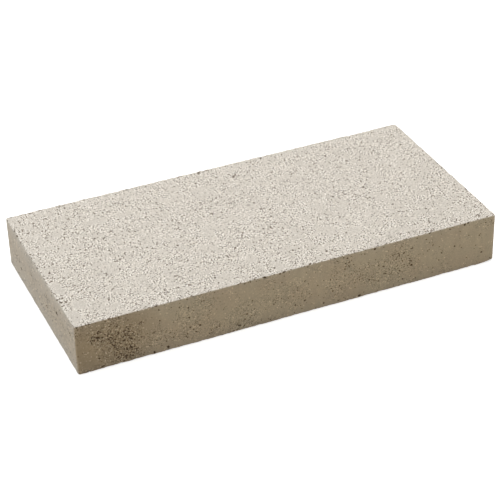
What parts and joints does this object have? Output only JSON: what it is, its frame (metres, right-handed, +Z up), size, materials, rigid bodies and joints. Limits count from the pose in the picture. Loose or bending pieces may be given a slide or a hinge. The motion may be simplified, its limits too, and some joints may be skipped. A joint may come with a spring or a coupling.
{
  "type": "wall coping stone",
  "caption": "Flat rectangular concrete coping slab with a fine open-textured top, smooth moulded sides and eased edges, bedded along the top of a garden wall to shed rain.",
  "frame": {"origin": "middle of the flat bed face, the underside that lies on the wall", "axes": "+X along the wall, the stone's longest side; +Y across the wall; +Z up, from the bed face to the weathering face"},
  "size_m": [0.49, 0.235, 0.06],
  "materials": {
    "concrete": "matte sand-beige dry-cast concrete, finely pitted on top and smoother on the moulded sides"
  },
  "bodies": {
    "root": {"coping_stone": "concrete"}
  },
  "joints": []
}
